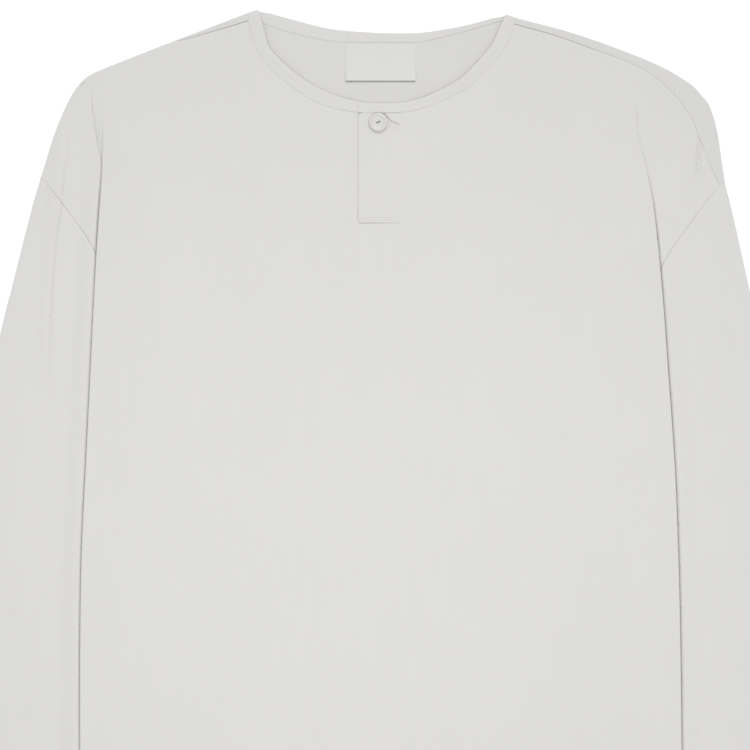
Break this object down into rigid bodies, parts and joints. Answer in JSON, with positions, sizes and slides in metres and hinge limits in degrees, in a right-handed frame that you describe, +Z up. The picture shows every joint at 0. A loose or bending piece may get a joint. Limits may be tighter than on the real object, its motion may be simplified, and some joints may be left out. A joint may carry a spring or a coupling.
{
  "type": "henley shirt",
  "caption": "Long-sleeved henley shirt with dropped shoulders, a round banded neck and a short buttoned placket, laid flat face up with its sleeves beside the body.",
  "frame": {"origin": "on the surface that the shirt lies on, at the middle of its outline", "axes": "+Z up, from the back to the front; +Y from hem to neck; +X to the viewer's right, across the sleeves"},
  "size_m": [0.7874, 0.7232, 0.0068],
  "materials": {
    "jersey": "matte off-white cotton jersey",
    "jersey_band": "matte off-white cotton jersey, cut across the grain",
    "button_resin": "satin off-white resin, turned",
    "woven_label": "flat woven white tape"
  },
  "bodies": {
    "root": {"front_panel": "jersey", "back_panel": "jersey", "sleeve_left": "jersey", "sleeve_right": "jersey", "neckband": "jersey_band", "placket_upper": "jersey", "placket_under": "jersey", "button": "button_resin", "label": "woven_label"}
  },
  "joints": []
}
